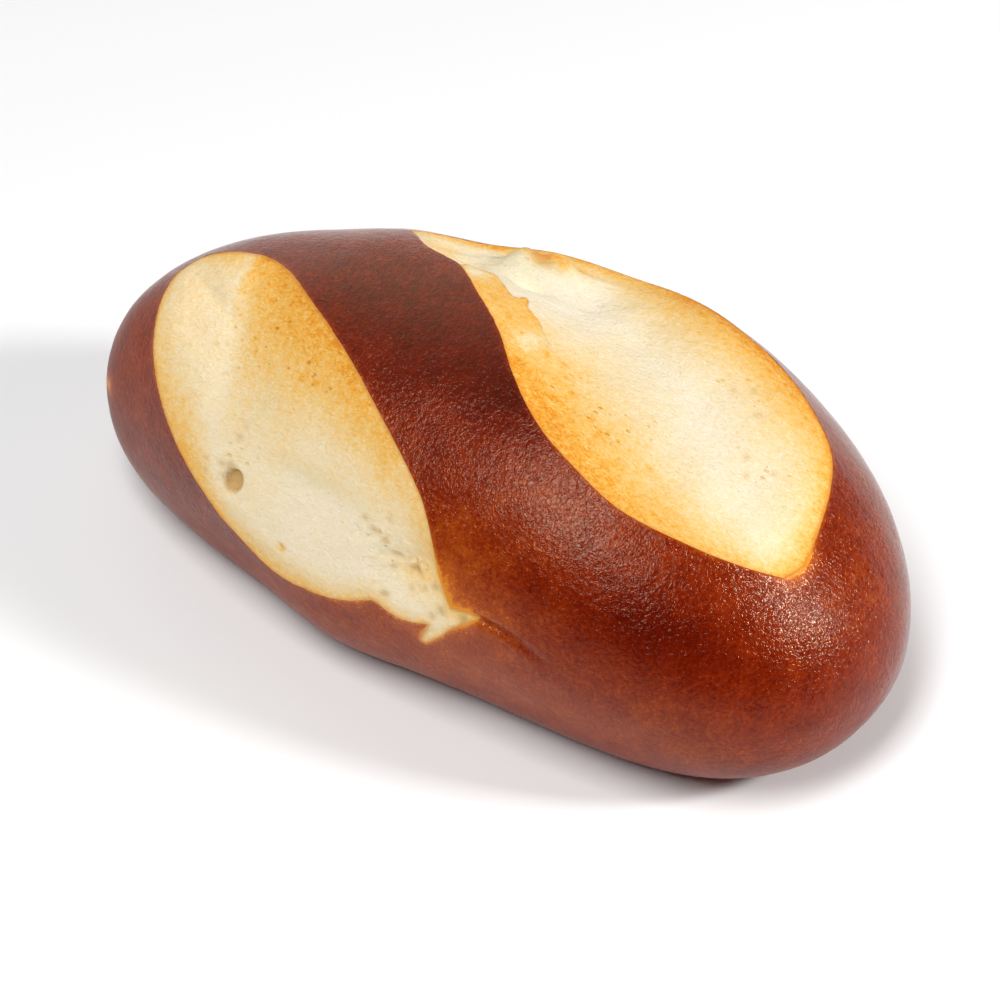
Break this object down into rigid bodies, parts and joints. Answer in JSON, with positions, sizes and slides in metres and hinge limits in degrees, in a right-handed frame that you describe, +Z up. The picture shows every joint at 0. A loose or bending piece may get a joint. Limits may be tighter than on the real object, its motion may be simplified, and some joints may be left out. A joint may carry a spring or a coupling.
{
  "type": "pretzel roll",
  "caption": "Oblong lye-browned bread roll with a flat sole and a crust split open along slanting slashes over pale crumb.",
  "frame": {"origin": "middle of the box around the roll, on the plane of its flat sole", "axes": "+X along the roll towards its broader end, +Z up through the ridge, +Y towards the side that the longer slash opens over; the other slash opens over the -Y side"},
  "size_m": [0.16, 0.0877, 0.0602],
  "materials": {
    "crust": "glossy dark brown bread crust, with matte cream to golden crumb inside the slashes"
  },
  "bodies": {
    "root": {"pretzel_roll": "crust"}
  },
  "joints": []
}
